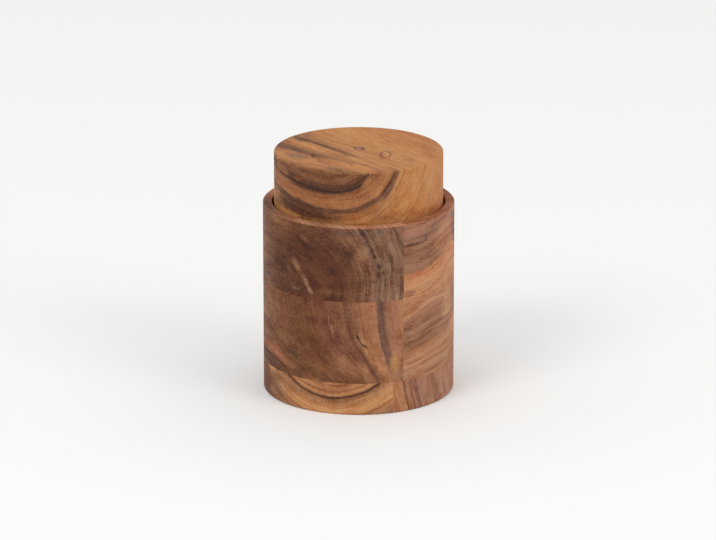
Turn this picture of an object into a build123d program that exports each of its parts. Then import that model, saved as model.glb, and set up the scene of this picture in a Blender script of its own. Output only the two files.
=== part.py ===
from build123d import *
import os
from dataclasses import dataclass
from math import cos, radians, sin

# Wooden canister turned from a glued-up blank, with a loose wooden lid.
# Origin: centre of the underside, +Z up through the turning axis, -Y towards the viewer.
# All sizes in millimetres.

# Turned body
body_diameter = 127.0
base_course_height = 21.8
middle_course_height = 56.2
upper_course_height = 51.0
floor_thickness = 12.0
wall_thickness = 11.0
floor_corner_chamfer = 3.0
foot_edge_chamfer = 1.0
rim_edge_chamfer = 0.7

# Stepped mouth that takes the lid
rim_width = 6.1
mouth_depth = 9.0
mouth_edge_chamfer = 0.5
bore_edge_chamfer = 0.6

# Glue joints: upright planes across each course, all at one azimuth
glue_azimuth = -62.2
upper_glue_offset = 0.0
middle_glue_offset = 0.4
base_glue_offset = 7.6

# Lid, turned from one block
lid_side_gap = 1.4
lid_height_above_rim = 34.6
lid_top_edge_radius = 1.6
lid_foot_edge_chamfer = 0.6
spigot_length = 13.0
spigot_bore_gap = 2.4
spigot_edge_chamfer = 0.8

# Seal ring, a band with two flexible lips, sprung into a groove round the spigot
seal_groove_drop = 3.6
seal_groove_width = 6.0
seal_groove_depth = 2.2
seal_bore_gap = 0.3
seal_band_proud = 0.5
seal_lip_root = 1.7
seal_lip_tip = 0.5
seal_lip_droop = 0.7

body_radius = body_diameter / 2
base_top = base_course_height
middle_top = base_top + middle_course_height
rim_z = middle_top + upper_course_height
bore_radius = body_radius - wall_thickness
mouth_radius = body_radius - rim_width
ledge_z = rim_z - mouth_depth
lid_radius = mouth_radius - lid_side_gap
lid_top_z = rim_z + lid_height_above_rim
spigot_radius = bore_radius - spigot_bore_gap
spigot_foot_z = ledge_z - spigot_length
groove_top_z = ledge_z - seal_groove_drop
groove_foot_z = groove_top_z - seal_groove_width
groove_radius = spigot_radius - seal_groove_depth
seal_band_radius = spigot_radius + seal_band_proud
seal_tip_radius = bore_radius - seal_bore_gap


@dataclass(frozen=True)
class Course:
    """One layer of the glued-up blank, made of two blocks side by side."""

    name: str
    bottom: float
    top: float
    glue_offset: float

    def glue_plane(self) -> Plane:
        """Upright plane of the glue joint, its normal pointing to the right-hand block."""
        angle = radians(glue_azimuth)
        across = Vector(-sin(angle), cos(angle), 0)
        along = Vector(cos(angle), sin(angle), 0)
        return Plane(origin=across * -self.glue_offset, x_dir=along, z_dir=across)


courses = [
    Course("base", 0.0, base_top, base_glue_offset),
    Course("middle", base_top, middle_top, middle_glue_offset),
    Course("upper", middle_top, rim_z, upper_glue_offset),
]


def rings_at(part: BuildPart, radius: float, z: float) -> ShapeList:
    """Circular edges of a turned part at one radius and height."""
    rings = part.edges().filter_by(GeomType.CIRCLE)
    rings = rings.filter_by(lambda edge: abs(edge.radius - radius) < 0.01)
    return rings.filter_by(lambda edge: abs(edge.arc_center.Z - z) < 0.01)


os.makedirs("parts", exist_ok=True)

# The whole body as it comes off the lathe: outside, bore, floor and the ledge for the lid
with BuildPart() as turned_body:
    with BuildSketch(Plane.XZ):
        with BuildLine():
            Polyline(
                (0, 0),
                (body_radius, 0),
                (body_radius, rim_z),
                (mouth_radius, rim_z),
                (mouth_radius, ledge_z),
                (bore_radius, ledge_z),
                (bore_radius, floor_thickness),
                (0, floor_thickness),
                close=True,
            )
        make_face()
    revolve(axis=Axis.Z)
    chamfer(rings_at(turned_body, body_radius, 0), foot_edge_chamfer)
    chamfer(rings_at(turned_body, body_radius, rim_z), rim_edge_chamfer)
    chamfer(rings_at(turned_body, mouth_radius, rim_z), mouth_edge_chamfer)
    chamfer(rings_at(turned_body, bore_radius, ledge_z), bore_edge_chamfer)
    chamfer(rings_at(turned_body, bore_radius, floor_thickness), floor_corner_chamfer)

# Each course of the body is two blocks that meet face to face along its glue plane
for course in courses:
    for side, kept in (("left", Keep.BOTTOM), ("right", Keep.TOP)):
        with BuildPart() as block:
            add(turned_body.part)
            split(bisect_by=Plane.XY.offset(course.bottom), keep=Keep.TOP)
            split(bisect_by=Plane.XY.offset(course.top), keep=Keep.BOTTOM)
            split(bisect_by=course.glue_plane(), keep=kept)
        block.part.label = f"{course.name}_{side}_block"
        export_step(block.part, f"parts/{block.part.label}.step")

# Lid: stands on the ledge inside the rim, with a grooved spigot that hangs in the bore
with BuildPart() as lid_block:
    with BuildSketch(Plane.XZ):
        with BuildLine():
            Polyline(
                (0, spigot_foot_z),
                (spigot_radius, spigot_foot_z),
                (spigot_radius, groove_foot_z),
                (groove_radius, groove_foot_z),
                (groove_radius, groove_top_z),
                (spigot_radius, groove_top_z),
                (spigot_radius, ledge_z),
                (lid_radius, ledge_z),
                (lid_radius, lid_top_z),
                (0, lid_top_z),
                close=True,
            )
        make_face()
    revolve(axis=Axis.Z)
    fillet(rings_at(lid_block, lid_radius, lid_top_z), lid_top_edge_radius)
    chamfer(rings_at(lid_block, lid_radius, ledge_z), lid_foot_edge_chamfer)
    chamfer(rings_at(lid_block, spigot_radius, spigot_foot_z), spigot_edge_chamfer)
lid_block.part.label = "lid_block"
export_step(lid_block.part, "parts/lid_block.step")

# Seal ring: its two lips point outwards and up, and stop just short of the bore
lip_heights = [groove_foot_z + seal_groove_width * share for share in (0.25, 0.75)]
with BuildPart() as lid_seal:
    with BuildSketch(Plane.XZ):
        with BuildLine():
            Polyline(
                (groove_radius, groove_foot_z),
                (seal_band_radius, groove_foot_z),
                (seal_band_radius, groove_top_z),
                (groove_radius, groove_top_z),
                close=True,
            )
        make_face()
        for lip_z in lip_heights:
            with BuildLine():
                Polyline(
                    (groove_radius, lip_z - seal_lip_root / 2),
                    (seal_band_radius, lip_z - seal_lip_root / 2),
                    (seal_tip_radius, lip_z + seal_lip_droop - seal_lip_tip / 2),
                    (seal_tip_radius, lip_z + seal_lip_droop + seal_lip_tip / 2),
                    (seal_band_radius, lip_z + seal_lip_root / 2),
                    (groove_radius, lip_z + seal_lip_root / 2),
                    close=True,
                )
            make_face()
    revolve(axis=Axis.Z)
lid_seal.part.label = "lid_seal"
export_step(lid_seal.part, "parts/lid_seal.step")
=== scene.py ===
"""Looks of a turned wooden canister: figured wood on every block, a soft seal and a plain studio."""

import logging
import math
from dataclasses import dataclass, field
from enum import Enum
from typing import Any

import bpy
from mathutils import Euler, Matrix, Vector


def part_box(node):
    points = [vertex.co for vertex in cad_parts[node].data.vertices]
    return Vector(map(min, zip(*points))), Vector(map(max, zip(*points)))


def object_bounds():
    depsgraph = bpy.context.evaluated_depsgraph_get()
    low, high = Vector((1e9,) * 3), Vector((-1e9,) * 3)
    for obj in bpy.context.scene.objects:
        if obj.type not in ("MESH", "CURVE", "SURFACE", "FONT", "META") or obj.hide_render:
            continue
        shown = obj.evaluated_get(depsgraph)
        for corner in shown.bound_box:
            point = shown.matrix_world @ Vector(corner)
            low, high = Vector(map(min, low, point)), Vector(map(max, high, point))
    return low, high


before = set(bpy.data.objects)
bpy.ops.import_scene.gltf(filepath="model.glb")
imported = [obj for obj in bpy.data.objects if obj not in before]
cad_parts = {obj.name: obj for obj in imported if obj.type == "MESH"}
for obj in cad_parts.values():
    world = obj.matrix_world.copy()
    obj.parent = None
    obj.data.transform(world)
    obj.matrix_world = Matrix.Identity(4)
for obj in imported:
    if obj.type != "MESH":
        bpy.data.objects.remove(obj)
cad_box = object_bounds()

log = logging.getLogger("canister")

Tree = bpy.types.NodeTree
Socket = bpy.types.NodeSocket
Lengths = tuple[float, float, float]

# A millimetre in metres
MM = 0.001

# Sizes from the frame, in millimetres
BODY_RADIUS = cad_box[1][0] / MM
LID_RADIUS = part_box("lid_block")[1][0] / MM
LID_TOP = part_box("lid_block")[1][2] / MM
RIM_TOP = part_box("upper_left_block")[1][2] / MM

# Half a mark's size into the wood, in millimetres or, on a side, as a share of half its length
LEAST_SIDE_DEPTH = 6.0
SIDE_DEPTH_SHARE = 0.6
TOP_DEPTH = 1.6
RIM_DEPTH = 0.9

# Half the width of a mark on the rim's top in millimetres, so that it goes right across the rim
RIM_HALF_WIDTH = 14.0

# How far a mark's edge wanders and how long each of its bays is, in millimetres
EDGE_WANDER = 5.0
EDGE_BAY = 5.0

# Where a mark stops being at its full strength and where it ends, as shares of its half size
MARK_CORE = 0.2
MARK_END = 1.2

# Which way the lid's grain runs across its top, in degrees
LID_GRAIN = -51.5

# How far up a face looks, from 0 to 1, where the tint of a top starts and where it is full; on the rim
# this tint is partly a painted highlight
TINT_START = 0.3
TINT_FULL = 0.8

# The Mix node's colour sockets, by number because other sockets of it have the same names
MIX_UNDER = 6
MIX_OVER = 7
MIX_RESULT = 2

# Noise seldom strays more than a quarter from a half, so it is taken four times to give a full shift
NOISE_MIDDLE = 0.5
NOISE_SPREAD = 4
NOISE_ROUGHNESS = 0.6

# The photograph's width in pixels and the camera sensor's in millimetres
IMAGE_WIDTH = 716
SENSOR_WIDTH_MM = 36.0


def srgb(code: str) -> tuple[float, float, float, float]:
    """Turns an sRGB hex code into a linear colour.

    Args:
        code: Six hex digits.

    Returns:
        Linear red, green, blue and an alpha of 1.
    """
    channels = [int(code[i : i + 2], 16) / 255 for i in (0, 2, 4)]
    linear = [c / 12.92 if c <= 0.04045 else ((c + 0.055) / 1.055) ** 2.4 for c in channels]
    return (linear[0], linear[1], linear[2], 1.0)


def per_unit(size: Lengths) -> Lengths:
    """The scale that turns lengths into multiples of a pattern's size."""
    return (1 / size[0], 1 / size[1], 1 / size[2])


def add(
    tree: Tree,
    kind: str,
    inputs: dict[int | str, Any] | None = None,
    **settings: Any,
) -> bpy.types.Node:
    """Adds one node with its settings and links.

    Args:
        tree: The node tree that gets the node.
        kind: The node's type, without its ShaderNode prefix.
        inputs: Socket name or number to a value, or to the output socket that feeds it.
        **settings: The node's own properties.

    Returns:
        The new node.
    """
    node = tree.nodes.new("ShaderNode" + kind)
    for name, value in settings.items():
        setattr(node, name, value)
    for key, value in (inputs or {}).items():
        if isinstance(value, Socket):
            tree.links.new(value, node.inputs[key])
        else:
            node.inputs[key].default_value = value
    return node


def blank_material(name: str) -> bpy.types.Material:
    """Makes a material with no nodes yet.

    Args:
        name: The material's name.

    Returns:
        The material.
    """
    made = bpy.data.materials.new(name)
    made.use_nodes = True
    made.node_tree.nodes.clear()
    return made


class Course(Enum):
    """The layers of the glued-up body, from the foot upwards."""

    BASE = "base"
    MIDDLE = "middle"
    UPPER = "upper"


class Side(Enum):
    """The two blocks of a course, as the photograph shows them."""

    LEFT = "left"
    RIGHT = "right"


@dataclass(frozen=True)
class GrowthRings:
    """Where a block was cut from its log.

    Across is the bearing of the level line across the grain. The grain runs a quarter turn to the
    left of it and rises by dip. The pith lies pith_offset along the first and pith_height up. An
    ovality under 1 makes the rings taller than they are wide. Lengths are in millimetres and angles
    in degrees, in the frame of the whole canister.
    """

    across: float
    dip: float
    pith_offset: float
    pith_height: float
    ovality: float = 1.0

    def mapping(self) -> tuple[Vector, Euler]:
        """Works out the move from canister millimetres to (across, along, up) from the pith.

        Returns:
            Location and rotation for a Mapping node.
        """
        bearing = math.radians(self.across)
        dip = math.radians(self.dip)
        across = Vector((math.cos(bearing), math.sin(bearing), 0))
        level = math.cos(dip)
        along = Vector((-math.sin(bearing) * level, math.cos(bearing) * level, math.sin(dip)))
        rotation = Matrix((across, along, across.cross(along))).to_euler()
        return Vector((-self.pith_offset, 0, -self.pith_height)), rotation


@dataclass(frozen=True)
class Lean:
    """How far the rings of a block swing sideways, read up its height, in millimetres.

    The swing grows by a factor of far between the places near_edge and far_edge across the block.
    """

    heights: tuple[float, ...]
    shifts: tuple[float, ...]
    near_edge: float
    far_edge: float
    far: float


@dataclass(frozen=True)
class Band:
    """A growth ring's colour at one radius from the pith, in millimetres."""

    radius: float
    colour: str


@dataclass(frozen=True)
class MarkOrPaintedLight:
    """A knot, check, streak, stained patch or patch of painted light and shade: a ragged ellipsoid of
    another colour.

    Centre and half sizes (along, in, up) are in millimetres in the canister's frame. Strength is how
    much of the wood's own colour it hides, up to 1. Bearing and tilt turn the long way of the
    ellipsoid, in degrees. Core is the share of its half size that has the full strength, and ragged
    how far its edge wanders, in millimetres.
    """

    centre: Lengths
    half: Lengths
    colour: str
    strength: float
    bearing: float
    tilt: float = 0.0
    core: float = MARK_CORE
    ragged: float = EDGE_WANDER

    def rotation(self) -> Euler:
        """Works out how the ellipsoid's own axes lie in the canister.

        Returns:
            Rotation for a Mapping node.
        """
        bearing = math.radians(self.bearing)
        tilt = math.radians(self.tilt)
        level, rise = math.cos(tilt), math.sin(tilt)
        along = Vector((math.cos(bearing) * level, math.sin(bearing) * level, rise))
        up = Vector((-math.cos(bearing) * rise, -math.sin(bearing) * rise, level))
        return Matrix((along, up.cross(along), up)).transposed().to_euler()


@dataclass(frozen=True)
class TurnedFace:
    """An upright turned face, by its radius in millimetres.

    Azimuths go round the axis in degrees: -90 faces the camera, -180 is the left edge in the
    picture and 0 the right edge.
    """

    radius: float

    def mark(
        self,
        azimuth: float,
        height: float,
        half: tuple[float, float],
        colour: str,
        strength: float,
        tilt: float = 0.0,
        core: float = MARK_CORE,
        ragged: float = EDGE_WANDER,
    ) -> MarkOrPaintedLight:
        """Makes a mark that shows on the face.

        Args:
            azimuth: Where its centre lies round the axis, in degrees.
            height: Height of its centre in millimetres.
            half: Half its length and half its width on the face, in millimetres.
            colour: Its sRGB colour.
            strength: How much of the wood's own colour it hides, up to 1.
            tilt: How far its length rises from level, in degrees.
            core: Share of its half size that has the full strength.
            ragged: How far its edge wanders, in millimetres.

        Returns:
            The mark.
        """
        angle = math.radians(azimuth)
        centre = (self.radius * math.cos(angle), self.radius * math.sin(angle), height)
        depth = max(LEAST_SIDE_DEPTH, half[0] * SIDE_DEPTH_SHARE)
        size = (half[0], depth, half[1])
        return MarkOrPaintedLight(centre, size, colour, strength, azimuth + 90, tilt, core, ragged)


WALL = TurnedFace(BODY_RADIUS)
LID_SIDE = TurnedFace(LID_RADIUS)


def on_top(
    x: float,
    y: float,
    half: tuple[float, float],
    colour: str,
    strength: float,
    bearing: float = LID_GRAIN,
    core: float = MARK_CORE,
    ragged: float = EDGE_WANDER,
) -> MarkOrPaintedLight:
    """Makes a mark that shows only on the lid's level top.

    Args:
        x: Centre across the picture, in millimetres.
        y: Centre away from the camera, in millimetres.
        half: Half its length and half its width, in millimetres.
        colour: Its sRGB colour.
        strength: How much of the wood's own colour it hides, up to 1.
        bearing: Which way its length runs, in degrees.
        core: Share of its half size that has the full strength.
        ragged: How far its edge wanders, in millimetres.

    Returns:
        The mark.
    """
    size = (half[0], half[1], TOP_DEPTH)
    return MarkOrPaintedLight((x, y, LID_TOP), size, colour, strength, bearing, 0.0, core, ragged)


def on_rim(azimuth: float, half_length: float, colour: str, strength: float) -> MarkOrPaintedLight:
    """Makes a stretch of the rim's level top in another colour, for stain and for painted light and
    shade.

    Args:
        azimuth: Where its middle lies round the axis, in degrees.
        half_length: Half its length in millimetres.
        colour: Its sRGB colour.
        strength: How much of the wood's own colour it hides, up to 1.

    Returns:
        The blemish.
    """
    angle = math.radians(azimuth)
    centre = (BODY_RADIUS * math.cos(angle), BODY_RADIUS * math.sin(angle), RIM_TOP)
    size = (half_length, RIM_HALF_WIDTH, RIM_DEPTH)
    return MarkOrPaintedLight(centre, size, colour, strength, azimuth + 90, ragged=1.0)


@dataclass(frozen=True)
class FiguredWood:
    """Acacia heartwood, turned, sanded fine and wiped with hard oil.

    The oil deepens the colour and leaves a dull satin, with hardly any sheen face on and a pale one
    where the wall turns away. Rings, fibres and open vessels run through the solid, so end grain
    shows arcs and dots, and long grain shows stripes and dashes.

    Lengths are in millimetres, and sizes are (across, along the grain, up). The fields ring_lines,
    fine_lines, fibres, mottle and pores say how much each of these deepens the oiled colour, and
    palest is where the shallowest oil stops. Inside the radius calm_core the ring lines are fainter.
    Each layer of wander has its size and its share of the shift.
    """

    name: str
    rings: GrowthRings
    bands: tuple[Band, ...]
    lean: Lean | None = None
    marks_and_painted_light: tuple[MarkOrPaintedLight, ...] = ()
    wander: float = 1.2
    wander_layers: tuple[tuple[Lengths, float], ...] = (((30, 80, 30), 1.0), ((6, 30, 6), 0.25))
    ring_gap: float = 2.4
    fine_gap_share: float = 0.32
    line_width_in_gaps: float = 18
    line_length: float = 120
    ring_lines: float = 1.1
    fine_lines: float = 0.9
    fibres: float = 0.7
    fibre_size: Lengths = (1.1, 28, 1.1)
    mottle: float = 0.7
    mottle_size: Lengths = (9, 40, 9)
    pores: float = 0.25
    vessel_spacing: Lengths = (1.8, 14, 1.8)
    vessel_core: float = 0.1
    vessel_edge: float = 0.3
    palest: float = 0.82
    palest_blend: float = 0.25
    calm_core: float = 0.0
    calm_share: float = 0.45
    calm_blend: float = 8.0
    top_tint_and_highlight: str = "b07642"
    top_tint_and_highlight_share: float = 0.0
    roughness: float = 0.66
    gloss: float = 0.3
    relief: float = 0.3
    relief_height: float = 0.1

    def material(self) -> bpy.types.Material:
        """Builds the block's solid wood material.

        Returns:
            The material.
        """
        made = blank_material(self.name)
        tree = made.node_tree
        inputs = {"Vector": add(tree, "TexCoord").outputs["Object"], "Scale": (1 / MM,) * 3}
        plain = add(tree, "Mapping", inputs).outputs[0]
        place = self._place(tree, plain)
        ring = self._ring_radius(tree, place)
        coarse = self._ring_lines(tree, ring, place, self.ring_gap)
        fine = self._ring_lines(tree, ring, place, self.ring_gap * self.fine_gap_share)
        fibre = self._noise(tree, place, self.fibre_size, detail=2.0)
        cloud = self._noise(tree, place, self.mottle_size, detail=3.0)
        vessels = self._vessels(tree, place)
        colour = self._tint_and_light_top(tree, self._ring_colour(tree, ring))
        colour = self._marked_and_painted(tree, colour, plain)
        lines = self._lines_depth(tree, ring, coarse, fine)
        depth = self._depth(tree, lines, fibre, cloud, vessels)
        colour = add(tree, "Gamma", {"Color": colour, "Gamma": depth}).outputs[0]
        self._surface(tree, colour, fine, fibre, vessels)
        return made

    def _noise(self, tree: Tree, place: Socket, size: Lengths, detail: float) -> Socket:
        """Adds noise that is centred on a half.

        Args:
            tree: The material's node tree.
            place: Millimetres from the pith.
            size: Size of its lumps.
            detail: How many finer layers it has.

        Returns:
            The noise.
        """
        scaled = add(tree, "VectorMath", {0: place, 1: per_unit(size)}, operation="MULTIPLY").outputs[0]
        inputs = {"Vector": scaled, "Scale": 1.0, "Detail": detail, "Roughness": NOISE_ROUGHNESS}
        return add(tree, "TexNoise", inputs).outputs["Fac"]

    def _place(self, tree: Tree, plain: Socket) -> Socket:
        """Goes to the log's own axes, with the slow wander of real grain.

        Args:
            tree: The material's node tree.
            plain: Canister millimetres.

        Returns:
            Millimetres across, along and up from the pith.
        """
        location, rotation = self.rings.mapping()
        inputs = {"Vector": plain, "Location": location, "Rotation": rotation}
        straight = add(tree, "Mapping", inputs).outputs[0]
        place = straight
        for size, share in self.wander_layers:
            shift = self.wander * share * NOISE_SPREAD
            inputs = {0: straight, 1: per_unit(size)}
            scaled = add(tree, "VectorMath", inputs, operation="MULTIPLY").outputs[0]
            inputs = {"Vector": scaled, "Scale": 1.0, "Detail": 1.0}
            noise = add(tree, "TexNoise", inputs).outputs["Color"]
            inputs = {0: noise, 1: (NOISE_MIDDLE,) * 3}
            centred = add(tree, "VectorMath", inputs, operation="SUBTRACT").outputs[0]
            inputs = {0: centred, 1: (shift, 0.0, shift), 2: place}
            place = add(tree, "VectorMath", inputs, operation="MULTIPLY_ADD").outputs[0]
        return place

    def _ring_radius(self, tree: Tree, place: Socket) -> Socket:
        """Measures the distance from the pith, or across the block where the rings lean.

        Args:
            tree: The material's node tree.
            place: Millimetres from the pith.

        Returns:
            The ring's radius in millimetres.
        """
        if self.lean is None:
            inputs = {0: place, 1: (1.0, 0.0, self.rings.ovality)}
            flat = add(tree, "VectorMath", inputs, operation="MULTIPLY").outputs[0]
            return add(tree, "VectorMath", {0: flat}, operation="LENGTH").outputs["Value"]
        lean = self.lean
        parts = add(tree, "SeparateXYZ", {0: place}).outputs
        low, high, most = lean.heights[0], lean.heights[-1], max(lean.shifts)
        inputs = {"Value": parts["Z"], "From Min": low, "From Max": high}
        curve = add(tree, "FloatCurve", {"Value": add(tree, "MapRange", inputs).outputs[0]})
        points = curve.mapping.curves[0].points
        for height, shift in zip(lean.heights[1:-1], lean.shifts[1:-1]):
            points.new((height - low) / (high - low), shift / most)
        points[0].location = (0.0, lean.shifts[0] / most)
        points[-1].location = (1.0, lean.shifts[-1] / most)
        curve.mapping.update()
        inputs = {"Value": parts["X"], "From Min": lean.near_edge, "From Max": lean.far_edge}
        inputs.update({"To Min": most, "To Max": most * lean.far})
        reach = add(tree, "MapRange", inputs, interpolation_type="SMOOTHSTEP").outputs[0]
        swing = add(tree, "Math", {0: curve.outputs[0], 1: reach}, operation="MULTIPLY").outputs[0]
        return add(tree, "Math", {0: parts["X"], 1: swing}, operation="SUBTRACT").outputs[0]

    def _ring_lines(self, tree: Tree, ring: Socket, place: Socket, gap: float) -> Socket:
        """Adds dark and light lines that follow the rings and die away along and across them.

        Args:
            tree: The material's node tree.
            ring: The ring's radius in millimetres.
            place: Millimetres from the pith.
            gap: About how far the lines are apart, in millimetres.

        Returns:
            The lines, centred on a half.
        """
        width = gap * self.line_width_in_gaps
        inputs = {0: place, 1: per_unit((width, self.line_length, width))}
        slow = add(tree, "VectorMath", inputs, operation="MULTIPLY").outputs[0]
        parts = add(tree, "SeparateXYZ", {0: slow}).outputs
        tight = add(tree, "Math", {0: ring, 1: 1 / gap}, operation="MULTIPLY").outputs[0]
        joined = add(tree, "CombineXYZ", {"X": tight, "Y": parts["X"], "Z": parts["Z"]}).outputs[0]
        inputs = {"Vector": joined, "W": parts["Y"], "Scale": 1.0, "Detail": 2.0}
        inputs["Roughness"] = NOISE_ROUGHNESS
        return add(tree, "TexNoise", inputs, noise_dimensions="4D").outputs["Fac"]

    def _vessels(self, tree: Tree, place: Socket) -> Socket:
        """Adds open vessels, 0.2 mm wide in life and drawn about 0.5 mm wide so that they show.

        Args:
            tree: The material's node tree.
            place: Millimetres from the pith.

        Returns:
            1 in a vessel and 0 between them.
        """
        inputs = {0: place, 1: per_unit(self.vessel_spacing)}
        scaled = add(tree, "VectorMath", inputs, operation="MULTIPLY").outputs[0]
        inputs = {"Vector": scaled, "Scale": 1.0, "Randomness": 1.0}
        cells = add(tree, "TexVoronoi", inputs).outputs["Distance"]
        inputs = {"Value": cells, "From Min": self.vessel_core, "From Max": self.vessel_edge}
        inputs.update({"To Min": 1.0, "To Max": 0.0})
        return add(tree, "MapRange", inputs, interpolation_type="SMOOTHSTEP").outputs[0]

    def _ring_colour(self, tree: Tree, ring: Socket) -> Socket:
        """Colours the heartwood ring by ring.

        Args:
            tree: The material's node tree.
            ring: The ring's radius in millimetres.

        Returns:
            The colour.
        """
        low, high = self.bands[0].radius, self.bands[-1].radius
        share = add(tree, "MapRange", {"Value": ring, "From Min": low, "From Max": high}).outputs[0]
        ramp = add(tree, "ValToRGB", {0: share})
        stops = ramp.color_ramp.elements
        while len(stops) < len(self.bands):
            stops.new(1.0)
        for stop, band in zip(stops, self.bands):
            stop.position = (band.radius - low) / (high - low)
            stop.color = srgb(band.colour)
        return ramp.outputs[0]

    def _tint_and_light_top(self, tree: Tree, colour: Socket) -> Socket:
        """Tints the faces that look up apart from the sides, which on the upper left block paints a
        highlight on the rim's top.

        Args:
            tree: The material's node tree.
            colour: The heartwood's colour.

        Returns:
            The colour with the tint.
        """
        up = add(tree, "SeparateXYZ", {0: add(tree, "NewGeometry").outputs["Normal"]}).outputs["Z"]
        inputs = {"Value": up, "From Min": TINT_START, "From Max": TINT_FULL, "To Max": self.top_tint_and_highlight_share}
        share = add(tree, "MapRange", inputs).outputs[0]
        inputs = {"Factor": share, MIX_UNDER: colour, MIX_OVER: srgb(self.top_tint_and_highlight)}
        return add(tree, "Mix", inputs, data_type="RGBA").outputs[MIX_RESULT]

    def _marked_and_painted(self, tree: Tree, colour: Socket, plain: Socket) -> Socket:
        """Lays the marks, painted light and shade among them, over the heartwood, each over those before
        it.

        Args:
            tree: The material's node tree.
            colour: The heartwood's colour.
            plain: Canister millimetres.

        Returns:
            The colour with the marks.
        """
        inputs = {"Vector": plain, "Scale": 1 / EDGE_BAY, "Detail": 3.0}
        noise = add(tree, "TexNoise", inputs).outputs["Color"]
        inputs = {0: noise, 1: (NOISE_MIDDLE,) * 3}
        centred = add(tree, "VectorMath", inputs, operation="SUBTRACT").outputs[0]
        places: dict[float, Socket] = {}
        for mark_or_light in self.marks_and_painted_light:
            if mark_or_light.ragged not in places:
                inputs = {0: centred, 1: (mark_or_light.ragged,) * 3, 2: plain}
                wandered = add(tree, "VectorMath", inputs, operation="MULTIPLY_ADD").outputs[0]
                places[mark_or_light.ragged] = wandered
            inputs = {"Vector": places[mark_or_light.ragged], "Location": mark_or_light.centre}
            inputs.update({"Rotation": mark_or_light.rotation(), "Scale": mark_or_light.half})
            unit = add(tree, "Mapping", inputs, vector_type="TEXTURE").outputs[0]
            reach = add(tree, "VectorMath", {0: unit}, operation="LENGTH").outputs["Value"]
            inputs = {"Value": reach, "From Min": mark_or_light.core, "From Max": MARK_END}
            inputs.update({"To Min": mark_or_light.strength, "To Max": 0.0})
            share = add(tree, "MapRange", inputs, interpolation_type="SMOOTHSTEP").outputs[0]
            inputs = {"Factor": share, MIX_UNDER: colour, MIX_OVER: srgb(mark_or_light.colour)}
            colour = add(tree, "Mix", inputs, data_type="RGBA").outputs[MIX_RESULT]
        return colour

    def _lines_depth(self, tree: Tree, ring: Socket, coarse: Socket, fine: Socket) -> Socket:
        """Works out what the ring lines add to the oil's depth.

        Args:
            tree: The material's node tree.
            ring: The ring's radius in millimetres.
            coarse: The ring lines.
            fine: The finer lines between them.

        Returns:
            The added depth, less of it inside the calm core.
        """
        depth: Socket | float = 0.0
        for layer, weight in ((coarse, self.ring_lines), (fine, self.fine_lines)):
            inputs = {0: NOISE_MIDDLE, 1: layer}
            centred = add(tree, "Math", inputs, operation="SUBTRACT").outputs[0]
            inputs = {0: centred, 1: weight, 2: depth}
            depth = add(tree, "Math", inputs, operation="MULTIPLY_ADD").outputs[0]
        if not self.calm_core:
            return depth
        inner, outer = self.calm_core - self.calm_blend, self.calm_core + self.calm_blend
        inputs = {"Value": ring, "From Min": inner, "From Max": outer}
        inputs.update({"To Min": self.calm_share, "To Max": 1.0})
        share = add(tree, "MapRange", inputs).outputs[0]
        return add(tree, "Math", {0: depth, 1: share}, operation="MULTIPLY").outputs[0]

    def _depth(self, tree: Tree, lines: Socket, fibre: Socket, cloud: Socket, vessels: Socket) -> Socket:
        """Works out how deep the oil has taken the colour.

        Args:
            tree: The material's node tree.
            lines: What the ring lines add.
            fibre: Noise along the fibres.
            cloud: Broad mottled noise.
            vessels: 1 in a vessel and 0 between them.

        Returns:
            The depth: over 1 is darker and redder, under 1 is paler.
        """
        inputs = {0: vessels, 1: self.pores, 2: 1.0}
        depth = add(tree, "Math", inputs, operation="MULTIPLY_ADD").outputs[0]
        depth = add(tree, "Math", {0: depth, 1: lines}, operation="ADD").outputs[0]
        for layer, weight in ((fibre, self.fibres), (cloud, self.mottle)):
            inputs = {0: NOISE_MIDDLE, 1: layer}
            centred = add(tree, "Math", inputs, operation="SUBTRACT").outputs[0]
            inputs = {0: centred, 1: weight, 2: depth}
            depth = add(tree, "Math", inputs, operation="MULTIPLY_ADD").outputs[0]
        inputs = {0: depth, 1: self.palest, 2: self.palest_blend}
        return add(tree, "Math", inputs, operation="SMOOTH_MAX").outputs[0]

    def _surface(self, tree: Tree, colour: Socket, lines: Socket, fibre: Socket, vessels: Socket) -> None:
        """Finishes it as oiled satin whose open vessels and raised grain catch the light.

        Args:
            tree: The material's node tree.
            colour: The wood's colour.
            lines: The fine ring lines.
            fibre: Noise along the fibres.
            vessels: 1 in a vessel and 0 between them.
        """
        relief = add(tree, "Math", {0: fibre, 1: lines}, operation="ADD").outputs[0]
        relief = add(tree, "Math", {0: relief, 1: vessels}, operation="SUBTRACT").outputs[0]
        inputs = {"Height": relief, "Strength": self.relief, "Distance": self.relief_height * MM}
        bump = add(tree, "Bump", inputs).outputs[0]
        inputs = {"Base Color": colour, "Roughness": self.roughness, "Normal": bump}
        inputs["Specular IOR Level"] = self.gloss
        surface = add(tree, "BsdfPrincipled", inputs).outputs[0]
        add(tree, "OutputMaterial", {"Surface": surface})


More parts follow.
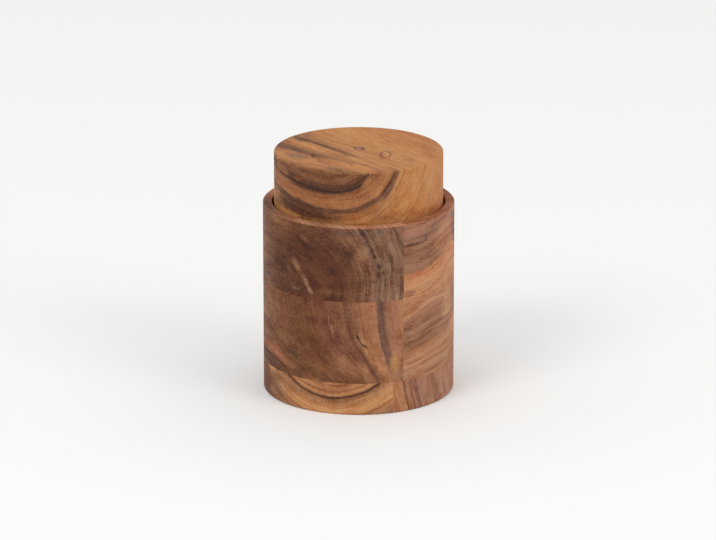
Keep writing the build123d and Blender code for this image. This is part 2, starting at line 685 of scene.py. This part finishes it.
# Dark reddish heartwood, calm at its middle, with paler rings outside and a few pale scars
UPPER_LEFT = FiguredWood(
    name="oiled_acacia_upper_left",
    rings=GrowthRings(across=-165, dip=0, pith_offset=67, pith_height=87),
    bands=(
        Band(0, "64402c"),
        Band(6, "5c331a"),
        Band(14, "542b10"),
        Band(24, "5a2e15"),
        Band(33, "55290f"),
        Band(40, "53280f"),
        Band(46, "663c22"),
        Band(51, "6e442b"),
        Band(55, "794f36"),
        Band(58, "6c4229"),
        Band(61, "78503a"),
        Band(63, "74503c"),
        Band(64.5, "62422f"),
        Band(66.5, "7e5b44"),
        Band(69, "684632"),
        Band(71, "83593f"),
        Band(74, "664430"),
        Band(77, "8b6249"),
        Band(79.5, "6e4a37"),
        Band(82, "85593f"),
        Band(84, "5c3d2d"),
        Band(87, "85573f"),
        Band(90, "7b4f39"),
        Band(130, "6a4029"),
    ),
    wander=1.5,
    ring_lines=0.9,
    fine_lines=1.3,
    mottle=1.1,
    pores=0.45,
    palest=0.86,
    calm_core=52,
    # Pale tint on the tops, chiefly the rim's: painted highlight where the rim's top catches the light
    top_tint_and_highlight="bb835e",
    top_tint_and_highlight_share=0.8,
    marks_and_painted_light=(
        WALL.mark(-112, 110, (22, 15), "46200a", 0.55),
        WALL.mark(-142, 124, (17, 7), "85532f", 0.75, core=0.3),
        WALL.mark(-132, 115, (13, 2.2), "4f2810", 0.6),
        WALL.mark(-116, 127, (16, 3), "6c4225", 0.5),
        # Broad pale patch at the left edge: painted sheen where the wall turns away from the eye
        WALL.mark(-172, 108, (29, 27), "875a40", 0.68, core=0.1),
        WALL.mark(-157, 125.5, (16, 4), "99683f", 0.5),
        WALL.mark(-124, 118.5, (5, 2.6), "7b4c2e", 0.6, tilt=-30),
        WALL.mark(-100, 125, (12, 3.2), "43271a", 0.5),
        # Pale patch lower on the left edge: painted sheen where the wall turns away from the eye
        WALL.mark(-174, 91, (27, 14), "85593f", 0.5, core=0.1),
        WALL.mark(-130, 99.5, (9.5, 2.8), "84563b", 0.8, tilt=-58, ragged=1.8),
        WALL.mark(-122.8, 88.5, (8.5, 2.6), "875a41", 0.8, tilt=-60, ragged=1.8),
        WALL.mark(-120, 83.5, (3, 1.8), "a08264", 0.65, tilt=-60, ragged=1.5),
        # Dark stretch of the rim's top at the left: dark wood, with the lid's shadow on it painted in
        on_rim(-168, 32, "573624", 0.85),
        WALL.mark(-105, 84, (9, 3.5), "7c5034", 0.5),
        WALL.mark(-130, 83.5, (6, 1.8), "8a6a52", 0.5),
        WALL.mark(-136, 95, (3, 2), "7d6450", 0.4, tilt=-50),
        WALL.mark(-143, 86, (9, 7), "4a2516", 0.55),
        WALL.mark(-160, 85, (12, 1.6), "4e352e", 0.7, tilt=-4),
        WALL.mark(-160, 80, (10, 2.4), "7a5038", 0.5),
        WALL.mark(-88, 108, (5, 10), "936848", 0.6),
        WALL.mark(-88.5, 125, (3.6, 2.0), "3a2018", 0.7, tilt=-62),
        WALL.mark(-83, 114, (7, 1.1), "43291d", 0.6, tilt=-60),
        WALL.mark(-77.6, 101.5, (3.0, 1.8), "2a1a13", 0.85, tilt=-82, ragged=4.0),
        WALL.mark(-80.4, 108.5, (2.2, 1.2), "33201a", 0.8, tilt=-60, ragged=3.0),
        WALL.mark(-78.2, 96.5, (2.4, 1.6), "2f1d16", 0.85, tilt=-75, ragged=4.0),
        WALL.mark(-80.6, 92.0, (1.8, 1.1), "38241a", 0.75, tilt=-80, ragged=3.0),
        WALL.mark(-84.5, 106, (1.8, 0.9), "3d281f", 0.7, tilt=-70, ragged=3.0),
        WALL.mark(-75.4, 98, (1.6, 0.9), "3d281f", 0.75, tilt=-80, ragged=3.0),
        WALL.mark(-86.5, 118, (1.6, 0.9), "3d281f", 0.7, tilt=-60, ragged=3.0),
        WALL.mark(-87, 92, (12, 1.2), "523525", 0.55, tilt=88),
        WALL.mark(-98, 112, (12, 1.8), "4c2814", 0.5, tilt=-66),
        WALL.mark(-66, 118, (11, 0.9), "3f2b21", 0.7, tilt=-76),
        WALL.mark(-78, 125, (3, 3), "645341", 0.6),
        WALL.mark(-73, 103, (2.6, 16), "6d5340", 0.4),
        WALL.mark(-63.2, 86, (1.8, 5), "40281e", 0.6),
    ),
)

# Warm brown heartwood with fine lines that run nearly level round the side
UPPER_RIGHT = FiguredWood(
    name="oiled_acacia_upper_right",
    rings=GrowthRings(across=-61.4, dip=-2.1, pith_offset=43, pith_height=-12.6, ovality=0.4),
    bands=(
        Band(0, "b07a52"),
        Band(38, "ac754e"),
        Band(43, "b1764e"),
        Band(47, "b87a50"),
        Band(47.9, "754a33"),
        Band(49, "88583d"),
        Band(50.5, "7d5138"),
        Band(52, "895a40"),
        Band(54.4, "88593f"),
        Band(55.5, "754c37"),
        Band(57, "95634a"),
        Band(60, "925f40"),
        Band(75, "9a6443"),
    ),
    ring_gap=3.0,
    ring_lines=0.8,
    fine_lines=1.2,
    top_tint_and_highlight="95552f",
    top_tint_and_highlight_share=0.75,
    marks_and_painted_light=(
        # Pale stretch of the rim's top at the front: painted highlight where the rim catches the light
        on_rim(-66, 9, "b87a4c", 0.7),
        WALL.mark(-56, 114.3, (8, 1.7), "4f3426", 0.7, tilt=4),
        WALL.mark(-45.5, 117, (3, 2.2), "46302a", 0.7, tilt=35),
        WALL.mark(-40, 124, (8, 1.6), "6e4735", 0.6, tilt=58),
        WALL.mark(-22, 104, (13, 6), "b0734e", 0.75, tilt=16, core=0.4),
        WALL.mark(-25, 116, (15, 11), "a36b48", 0.8, core=0.4),
        WALL.mark(-38, 104, (6, 1.7), "735043", 0.6, tilt=10),
        WALL.mark(-50, 93, (8, 3.4), "b06840", 0.7, tilt=12),
        WALL.mark(-34, 109, (9, 6), "b07850", 0.55, tilt=12),
        WALL.mark(-59, 90, (5, 4), "90593a", 0.5),
        WALL.mark(-59, 81.5, (9, 3.4), "74452e", 0.75, tilt=10),
        WALL.mark(-44, 84, (9, 4), "9a6645", 0.5),
    ),
)

# Plain brown heartwood with a few upright dark lines that swing sideways towards the foot
MIDDLE_LEFT = FiguredWood(
    name="oiled_acacia_middle_left",
    rings=GrowthRings(across=15, dip=0, pith_offset=0, pith_height=0),
    lean=Lean(
        heights=(21.5, 25, 30, 40, 50, 60, 70, 78),
        shifts=(14, 12.7, 9.4, 5, 2.2, 1.1, 0.6, 0),
        near_edge=5,
        far_edge=-20,
        far=2.6,
    ),
    bands=(
        Band(-102, "58301a"),
        Band(-92, "61371b"),
        Band(-88, "633817"),
        Band(-84, "774525"),
        Band(-79, "8b5331"),
        Band(-75, "6a3d1e"),
        Band(-69, "673c1f"),
        Band(-66, "6a3e20"),
        Band(-62, "734324"),
        Band(-56, "643617"),
        Band(-48, "613315"),
        Band(-42, "6b3a22"),
        Band(-35, "70402c"),
        Band(-30, "784a2d"),
        Band(-27, "7c4d31"),
        Band(-25, "6c4230"),
        Band(-22, "7c4e33"),
        Band(-15, "8c5838"),
        Band(-9, "97623f"),
        Band(-6.4, "9a6544"),
        Band(-4.8, "745040"),
        Band(-3.2, "674537"),
        Band(-1.0, "6a4637"),
        Band(0.8, "85573e"),
        Band(2.6, "8f5c40"),
        Band(8, "905a3e"),
        Band(13, "a06c46"),
        Band(15.5, "7a5136"),
    ),
    wander=0.6,
    ring_lines=0.45,
    fine_lines=0.6,
    mottle=0.9,
    marks_and_painted_light=(
        WALL.mark(-173, 62, (28, 26), "835839", 0.5, core=0.1),
        WALL.mark(-174, 54, (24, 16), "946544", 0.4, core=0.1),
        WALL.mark(-104, 36, (8, 17), "8c5b3d", 0.5, tilt=-8),
        WALL.mark(-95, 32, (13, 9), "9b6845", 0.55, tilt=-50),
        WALL.mark(-84, 44, (15, 5), "a9754d", 0.7, tilt=-62),
        WALL.mark(-84, 28, (9, 5), "a5724a", 0.6, tilt=-55),
        WALL.mark(-77, 33, (9, 3.4), "b57f54", 0.65, tilt=-60),
        WALL.mark(-86.5, 40, (14, 1.6), "6e4532", 0.8, tilt=-62, ragged=2.0),
        WALL.mark(-81, 28.5, (8, 1.9), "6a4636", 0.8, tilt=-55, ragged=2.0),
        WALL.mark(-107, 60, (9, 1.0), "9a6a49", 0.55, tilt=-76),
        WALL.mark(-104, 63, (7, 1.0), "8f6040", 0.4, tilt=-80),
        WALL.mark(-120, 74, (24, 4), "713f28", 0.4),
        WALL.mark(-132, 38, (11, 4.5), "52331a", 0.6, tilt=-50),
        WALL.mark(-118, 27, (12, 4), "5b381c", 0.6, tilt=-25),
        WALL.mark(-148, 36, (8, 4), "98593a", 0.75, tilt=-20),
        WALL.mark(-128, 26, (9, 3.5), "553620", 0.75, tilt=-10),
        WALL.mark(-162, 30, (17, 1.3), "321b0f", 0.9, tilt=3, ragged=2.0),
        WALL.mark(-143.5, 27.6, (11, 1.1), "321b0f", 0.9, tilt=-22, ragged=2.0),
        WALL.mark(-150, 28.2, (9, 0.8), "3d2314", 0.8, tilt=-6, ragged=2.0),
        WALL.mark(-163, 25, (12, 3.2), "54301b", 0.7),
        WALL.mark(-146, 52, (8, 1.0), "6a3c22", 0.5, tilt=-35),
        WALL.mark(-68, 34, (5, 11), "b8824f", 0.75),
        WALL.mark(-69.5, 55, (2.4, 12), "97634a", 0.5),
        WALL.mark(-65.5, 24.5, (4, 4), "a8744c", 0.65),
        WALL.mark(-90.5, 53.6, (3.4, 1.2), "2a180f", 0.9, tilt=-66, core=0.3, ragged=2.0),
        WALL.mark(-88.9, 50.2, (2.4, 0.8), "452a1b", 0.75, tilt=-55, ragged=2.0),
        WALL.mark(-86.6, 47.8, (3.2, 1.1), "3a2217", 0.85, tilt=-34, ragged=2.0),
    ),
)

# Pale warm heartwood with soft, sloping waves of darker brown
MIDDLE_RIGHT = FiguredWood(
    name="oiled_acacia_middle_right",
    rings=GrowthRings(across=-42.1, dip=9.4, pith_offset=59.7, pith_height=81.1, ovality=0.4),
    bands=(
        Band(0, "ae7a57"),
        Band(5.5, "aa7653"),
        Band(7.1, "93654a"),
        Band(7.8, "9e6e4f"),
        Band(8.5, "8c5e45"),
        Band(9.6, "97684b"),
        Band(11.5, "94654a"),
        Band(13.9, "8c5f45"),
        Band(15.5, "a5724f"),
        Band(18, "a97551"),
        Band(21, "a37150"),
        Band(26, "9e6d4c"),
        Band(60, "97674a"),
        Band(110, "8a5c40"),
    ),
    wander=0.8,
    ring_gap=2.8,
    ring_lines=0.5,
    fine_lines=0.9,
    marks_and_painted_light=(
        WALL.mark(-60, 50, (5, 12), "7a543a", 0.6),
        WALL.mark(-55, 72, (9, 4), "ac7852", 0.5),
        WALL.mark(-36, 56, (7, 1.6), "855a50", 0.6, tilt=6),
        WALL.mark(-44, 61.5, (6, 2), "87603f", 0.5, tilt=10),
        WALL.mark(-30, 42, (20, 3), "b07e5a", 0.5, tilt=10),
        WALL.mark(-22, 64, (11, 12), "bc895f", 0.65),
        WALL.mark(-15, 47, (10, 12), "c2926c", 0.45, core=0.1),
        WALL.mark(-34, 53, (13, 4), "ac7f63", 0.55, tilt=8),
        WALL.mark(-52, 34, (7, 4), "a8784e", 0.5),
        WALL.mark(-40, 27, (20, 4), "9c6a4a", 0.5),
    ),
)

# Golden heartwood with dark rings that hang in arcs
BASE_LEFT = FiguredWood(
    name="oiled_acacia_base_left",
    rings=GrowthRings(across=-197, dip=0, pith_offset=0, pith_height=63.9),
    bands=(
        Band(30, "9a653f"),
        Band(42, "ab7448"),
        Band(44, "8c5834"),
        Band(45.5, "a97349"),
        Band(47.6, "a06b41"),
        Band(48.4, "7c4b2b"),
        Band(49.3, "b07a4b"),
        Band(51.3, "a26c43"),
        Band(52, "4e2c1a"),
        Band(52.9, "4e2c1a"),
        Band(53.8, "8a5835"),
        Band(57, "a06c44"),
        Band(60.5, "b98354"),
        Band(65, "be8859"),
        Band(66.4, "905d39"),
        Band(67.6, "a8744b"),
        Band(72, "8a5d3e"),
        Band(80, "6b4330"),
        Band(120, "5e3c2e"),
    ),
    wander=0.5,
    ring_lines=0.9,
    fine_lines=0.9,
    fibres=0.8,
    marks_and_painted_light=(
        WALL.mark(-166, 12, (13, 12), "612e12", 0.85, core=0.55),
        WALL.mark(-150, 16.5, (10, 5), "744a2c", 0.7),
        WALL.mark(-147, 9, (13, 4.6), "62412a", 0.6, tilt=-22),
        WALL.mark(-144, 17, (8, 1.2), "70482a", 0.7, tilt=-38, ragged=2.5),
        WALL.mark(-141, 14, (22, 5), "7c4e2e", 0.45, tilt=-8),
        WALL.mark(-112, 4, (18, 2.6), "bb8354", 0.6),
        WALL.mark(-74, 15, (5, 5), "b28053", 0.6),
    ),
)

# Reddish heartwood in steep dark and pale stripes
BASE_RIGHT = FiguredWood(
    name="oiled_acacia_base_right",
    rings=GrowthRings(across=27.8, dip=0, pith_offset=0, pith_height=0),
    lean=Lean(
        heights=(0, 5, 10, 15, 22),
        shifts=(5.2, 3.8, 2.4, 1.2, 0),
        near_edge=60,
        far_edge=61,
        far=1.0,
    ),
    bands=(
        Band(-10, "a56d48"),
        Band(-1.4, "a46c48"),
        Band(-0.4, "5c3a2b"),
        Band(0.8, "9c6849"),
        Band(3.6, "a06c4b"),
        Band(4.6, "62402f"),
        Band(5.8, "9e6a4c"),
        Band(7.6, "875a45"),
        Band(9.6, "7b5040"),
        Band(11.4, "a06d50"),
        Band(13.4, "8d5e4a"),
        Band(15, "9a6a4e"),
        Band(21, "9a6a4b"),
        Band(23, "82543f"),
        Band(25, "885a43"),
        Band(27.5, "a06e52"),
        Band(45, "a16f53"),
        Band(64, "9a6a4c"),
    ),
    wander=0.4,
    ring_lines=0.8,
    marks_and_painted_light=(
        WALL.mark(-26, 7, (6, 3), "8f6a68", 0.5),
        WALL.mark(-66, 11, (3, 10), "a36b46", 0.6),
    ),
)

# Golden heartwood with nearly black rings, arcs on the side and stripes across the top
LID_WOOD = FiguredWood(
    name="oiled_acacia_lid",
    rings=GrowthRings(across=-145.57, dip=-7.94, pith_offset=53.32, pith_height=LID_TOP + 25.26),
    bands=(
        Band(0, "7a4a2a"),
        Band(22, "784828"),
        Band(27, "6b3f20"),
        Band(29.5, "754627"),
        Band(31.5, "6c4022"),
        Band(32.6, "4f2c17"),
        Band(33.3, "6a3f24"),
        Band(34.0, "3a1b0b"),
        Band(34.7, "5c361e"),
        Band(35.4, "2d1508"),
        Band(36.6, "31160a"),
        Band(37.5, "7a4827"),
        Band(40, "8c562f"),
        Band(43, "975f36"),
        Band(46, "9a6238"),
        Band(47.6, "8a5833"),
        Band(48.5, "4a2c1a"),
        Band(49.3, "7c4f2d"),
        Band(50.2, "543420"),
        Band(51.4, "96603a"),
        Band(53, "ab7240"),
        Band(60, "b07541"),
        Band(75, "b57842"),
        Band(90, "b57742"),
        Band(105, "b0713f"),
        Band(150, "aa6e3b"),
    ),
    wander=0.35,
    ring_lines=0.6,
    fine_lines=0.8,
    mottle=0.6,
    top_tint_and_highlight="ba7b40",
    top_tint_and_highlight_share=0.25,
    marks_and_painted_light=(
        LID_SIDE.mark(-134, 135.5, (30, 6.5), "451e07", 0.92, tilt=-7, core=0.55),
        LID_SIDE.mark(-146, 142, (14, 2.0), "401e0a", 0.8, tilt=-14, ragged=2.0),
        LID_SIDE.mark(-154, 158, (13, 3.2), "92603a", 0.85, tilt=-7, core=0.45),
        LID_SIDE.mark(-150, 154.8, (14, 0.8), "47230f", 0.85, tilt=-8, ragged=1.0),
        LID_SIDE.mark(-122, 150.5, (25, 2.8), "321507", 0.88, tilt=-3, ragged=2.0),
        LID_SIDE.mark(-83.5, 158.5, (8, 2.6), "a0683c", 0.8, tilt=50, ragged=2.0),
        # Darker patch low on the lid's front: painted shade just above the rim
        LID_SIDE.mark(-80, 137, (12, 4), "8a532f", 0.65),
        # Darker band along the lid's foot: painted shade where lid and rim meet
        LID_SIDE.mark(-72, 132.5, (15, 3.5), "864f2a", 0.65),
        LID_SIDE.mark(-101, 137.3, (10, 0.8), "4c2b16", 0.6, tilt=3, ragged=1.0),
        LID_SIDE.mark(-68, 142, (8, 5), "8f5a35", 0.55, tilt=40),
        LID_SIDE.mark(-160, 133.5, (12, 4), "5a3520", 0.7),
        LID_SIDE.mark(-106, 133, (10, 3.6), "5a3318", 0.7),
        LID_SIDE.mark(-35, 138, (6, 6), "9f673f", 0.5),
        LID_SIDE.mark(-166, 139, (8, 8), "7d5136", 0.6),
        # Darker patch at the lid's foot, facing the camera: painted shade above the rim
        LID_SIDE.mark(-95, 133.5, (9, 4), "8f5228", 0.7),
        LID_SIDE.mark(-69.9, 150.0, (11, 2.4), "644634", 0.85, tilt=56, ragged=1.5),
        LID_SIDE.mark(-75.9, 151, (7, 2.0), "a96c3c", 0.75, tilt=55, ragged=2.0),
        LID_SIDE.mark(-166, 157, (11, 4), "7d4c2a", 0.6),
        LID_SIDE.mark(-85, 148.5, (4.5, 2.4), "8a4c38", 0.65),
        LID_SIDE.mark(-76, 140.5, (6, 2), "744c33", 0.45, tilt=35),
        LID_SIDE.mark(-125, 146, (20, 2.6), "7a4725", 0.4, tilt=-4),
        LID_SIDE.mark(-136, 155.5, (6, 2), "9c5c2a", 0.5),
        # Reddish band at the foot of the lid's front: painted shade just above the rim
        LID_SIDE.mark(-55, 134, (16, 3.5), "a2602f", 0.6),
        # Reddish band at the foot of the lid's right side: painted shade above the rim, with a painted
        # reddish reflection
        LID_SIDE.mark(-38, 131.5, (22, 3.2), "a05630", 0.6),
        LID_SIDE.mark(-40, 152, (26, 11), "b57d50", 0.5),
        LID_SIDE.mark(-34, 139, (6, 2), "9d603c", 0.4),
        on_top(-40, -20, (34, 11), "ae723e", 0.92, core=0.65),
        on_top(-11, -37, (24, 6), "b77942", 0.85, core=0.6),
        on_top(-23, 3, (26, 4), "bd7c42", 0.6),
        on_top(-31, 25, (22, 4.5), "8a5d3d", 0.55),
        on_top(-33, 7, (24, 4), "c4834a", 0.75, core=0.4),
        on_top(9, -32, (25, 4.5), "c08248", 0.85, bearing=-51.9, core=0.5),
        on_top(1, -44, (17, 6), "c58347", 0.8, bearing=-45, core=0.5),
        on_top(-26, 12, (31, 1.5), "593413", 0.85, bearing=-51.9, core=0.3, ragged=2.0),
        on_top(-38.5, 25, (10, 2.6), "4f2e15", 0.75, bearing=-51.9, core=0.3, ragged=2.0),
        on_top(-34, 35, (8, 4), "76502f", 0.55),
        on_top(-2, -24, (12, 4), "c68a4e", 0.5),
        on_top(5, -27.5, (20, 0.9), "8d6136", 0.6, bearing=-51.9, core=0.3, ragged=1.5),
        on_top(-41, -15, (11, 7), "6f4a30", 0.75),
        on_top(-43.5, 1.5, (15, 3.3), "613a2a", 0.85, ragged=3.0),
        on_top(-30.2, -15.5, (5, 1.8), "3a2216", 0.85, bearing=-84, ragged=2.0),
        on_top(0.1, 1.6, (4.2, 3.8), "6f432b", 0.95, bearing=0, core=0.85),
        on_top(0.3, 1.6, (2.4, 2.2), "a8735a", 1.0, bearing=0, core=0.8),
        on_top(18, -11.5, (8.6, 4.0), "7e4c2b", 0.95, bearing=86, core=0.85),
        on_top(18, -11.5, (6.6, 2.5), "b97c48", 1.0, bearing=86, core=0.8),
        on_top(17.5, -11, (2.5, 1.4), "9a6238", 0.7, bearing=86),
        on_top(33, -24, (6, 6), "96592f", 0.45),
        on_top(46, 0, (28, 8), "a05c30", 0.6, bearing=95),
        on_top(22, 40, (12, 5), "b5702f", 0.5, bearing=-20),
    ),
)


@dataclass(frozen=True)
class Silicone:
    """Food-grade silicone, moulded matt, milky and a little translucent.

    The grain of its mould is 0.8 mm, coarser than in life so that it shows. Lengths are in
    millimetres.
    """

    name: str = "moulded_silicone"
    colour: str = "dcd9d2"
    roughness: float = 0.55
    ior: float = 1.41
    milkiness: float = 0.3
    milky_depth: float = 1.5
    grain: float = 0.8
    grain_strength: float = 0.1
    grain_height: float = 0.05

    def material(self) -> bpy.types.Material:
        """Builds the seal's material.

        Returns:
            The material.
        """
        made = blank_material(self.name)
        tree = made.node_tree
        place = add(tree, "TexCoord").outputs["Object"]
        inputs = {"Vector": place, "Scale": 1 / (self.grain * MM), "Detail": 2.0}
        grain = add(tree, "TexNoise", inputs).outputs["Fac"]
        inputs = {"Height": grain, "Strength": self.grain_strength, "Distance": self.grain_height * MM}
        bump = add(tree, "Bump", inputs).outputs[0]
        inputs = {"Base Color": srgb(self.colour), "Roughness": self.roughness, "IOR": self.ior}
        inputs.update({"Subsurface Weight": self.milkiness, "Subsurface Scale": self.milky_depth * MM})
        inputs["Normal"] = bump
        surface = add(tree, "BsdfPrincipled", inputs).outputs[0]
        add(tree, "OutputMaterial", {"Surface": surface})
        return made


def dress_node(name: str, material: bpy.types.Material) -> None:
    """Puts a material in every slot of a CAD node.

    Args:
        name: The node's name.
        material: The finish that it gets.
    """
    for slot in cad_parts[name].material_slots:
        slot.material = material
    log.info("dressed %s in %s", name, material.name)


@dataclass(frozen=True)
class TurnedBody:
    """The six glued blocks of the body, each with its own cut of wood."""

    woods: dict[tuple[Course, Side], FiguredWood] = field(
        default_factory=lambda: {
            (Course.UPPER, Side.LEFT): UPPER_LEFT,
            (Course.UPPER, Side.RIGHT): UPPER_RIGHT,
            (Course.MIDDLE, Side.LEFT): MIDDLE_LEFT,
            (Course.MIDDLE, Side.RIGHT): MIDDLE_RIGHT,
            (Course.BASE, Side.LEFT): BASE_LEFT,
            (Course.BASE, Side.RIGHT): BASE_RIGHT,
        }
    )

    def dress(self) -> None:
        """Gives each block its wood."""
        for (course, side), wood in self.woods.items():
            dress_node(f"{course.value}_{side.value}_block", wood.material())


@dataclass(frozen=True)
class LiftOffLid:
    """The lid's block and the seal ring round its spigot."""

    wood: FiguredWood = LID_WOOD
    seal: Silicone = Silicone()

    def dress(self) -> None:
        """Gives the lid its wood and the seal its silicone."""
        dress_node("lid_block", self.wood.material())
        dress_node("lid_seal", self.seal.material())


@dataclass(frozen=True)
class SoftBox:
    """A square lamp, its place and side in metres and its power in watts."""

    name: str
    place: Lengths
    power: float
    side: float = 1.8

    def build(self, target: Vector) -> None:
        """Makes the lamp.

        Args:
            target: The point that it is aimed at.
        """
        data = bpy.data.lights.new(self.name, "AREA")
        data.size = self.side
        data.energy = self.power
        lamp = bpy.data.objects.new(self.name, data)
        bpy.context.scene.collection.objects.link(lamp)
        lamp.location = self.place
        aim = target - Vector(self.place)
        lamp.rotation_mode = "QUATERNION"
        lamp.rotation_quaternion = aim.to_track_quat("-Z", "Y")
        log.info("placed the %s lamp", self.name)


@dataclass(frozen=True)
class Studio:
    """A white paper floor under a large overhead diffuser, with a soft box on either side.

    Lengths are in metres. The horizon's white ends, and the ceiling begins, where the upward part
    of a ray's direction passes from horizon_foot to horizon_top.
    """

    floor_half: float = 6.0
    floor_colour: str = "f8f8f7"
    floor_roughness: float = 0.9
    floor_gloss: float = 0.1
    ceiling_level: float = 0.8
    horizon_foot: float = 0.1
    horizon_top: float = 0.2
    target: Lengths = (0, 0, 0.08)
    lamps: tuple[SoftBox, ...] = (
        SoftBox("key", (-2.2, -2.6, 3.0), 46.0),
        SoftBox("fill", (2.8, -2.2, 2.2), 29.0),
    )

    def build(self) -> None:
        """Makes the floor, the world and the lamps."""
        self._floor()
        self._world()
        for lamp in self.lamps:
            lamp.build(Vector(self.target))

    def _floor(self) -> None:
        """Lays matt paper, pale by its own colour, that keeps the object's shadow."""
        half = self.floor_half
        mesh = bpy.data.meshes.new("studio_floor")
        corners = [(-half, -half, 0), (half, -half, 0), (half, half, 0), (-half, half, 0)]
        mesh.from_pydata(corners, [], [(0, 1, 2, 3)])
        floor = bpy.data.objects.new("studio_floor", mesh)
        bpy.context.scene.collection.objects.link(floor)
        paper = blank_material("seamless_paper")
        tree = paper.node_tree
        inputs = {"Base Color": srgb(self.floor_colour), "Roughness": self.floor_roughness}
        inputs["Specular IOR Level"] = self.floor_gloss
        matt = add(tree, "BsdfPrincipled", inputs).outputs[0]
        add(tree, "OutputMaterial", {"Surface": matt})
        mesh.materials.append(paper)
        log.info("laid the floor")

    def _world(self) -> None:
        """Hangs a white backdrop along the horizon, for the eye and for gloss, and a plain ceiling."""
        world = bpy.data.worlds.new("studio_white")
        bpy.context.scene.world = world
        world.use_nodes = True
        tree = world.node_tree
        tree.nodes.clear()
        rays = add(tree, "LightPath").outputs
        inputs = {0: rays["Is Camera Ray"], 1: rays["Is Glossy Ray"]}
        seen = add(tree, "Math", inputs, operation="MAXIMUM").outputs[0]
        inputs = {0: seen, 1: rays["Is Transmission Ray"]}
        seen = add(tree, "Math", inputs, operation="MAXIMUM").outputs[0]
        up = add(tree, "SeparateXYZ", {0: add(tree, "TexCoord").outputs["Generated"]}).outputs["Z"]
        inputs = {"Value": up, "From Min": self.horizon_top, "From Max": self.horizon_foot}
        low = add(tree, "MapRange", inputs).outputs[0]
        share = add(tree, "Math", {0: seen, 1: low}, operation="MULTIPLY").outputs[0]
        inputs = {"Value": share, "To Min": self.ceiling_level, "To Max": 1.0}
        level = add(tree, "MapRange", inputs).outputs[0]
        light = add(tree, "Background", {"Color": srgb("ffffff"), "Strength": level}).outputs[0]
        add(tree, "OutputWorld", {"Surface": light})
        log.info("hung the backdrop")


@dataclass(frozen=True)
class PhotoCamera:
    """The photograph's view, found by fitting the outlines of lid, rim, sides and foot.

    Lengths are in metres, the pitch in degrees below level and the focal length in pixels.
    """

    distance: float = 3.2005
    pitch: float = 17.55
    focal_pixels: float = 4808.3
    aim: Lengths = (-0.00043, 0.0, 0.0802)

    def build(self) -> None:
        """Makes the camera and sets it as the scene's."""
        data = bpy.data.cameras.new("photo_view")
        data.sensor_width = SENSOR_WIDTH_MM
        data.sensor_fit = "HORIZONTAL"
        data.lens = self.focal_pixels * SENSOR_WIDTH_MM / IMAGE_WIDTH
        camera = bpy.data.objects.new("photo_view", data)
        bpy.context.scene.collection.objects.link(camera)
        pitch = math.radians(self.pitch)
        back = Vector((0, -math.cos(pitch), math.sin(pitch)))
        camera.location = Vector(self.aim) + back * self.distance
        camera.rotation_mode = "QUATERNION"
        camera.rotation_quaternion = (-back).to_track_quat("-Z", "Y")
        bpy.context.scene.camera = camera
        log.info("placed the camera")


def main() -> None:
    """Builds the looks of the canister and the studio round it."""
    logging.basicConfig(level=logging.INFO, format="%(name)s: %(message)s")
    bpy.context.scene.view_settings.view_transform = "Standard"
    PhotoCamera().build()
    Studio().build()
    TurnedBody().dress()
    LiftOffLid().dress()


if __name__ == "__main__":
    main()
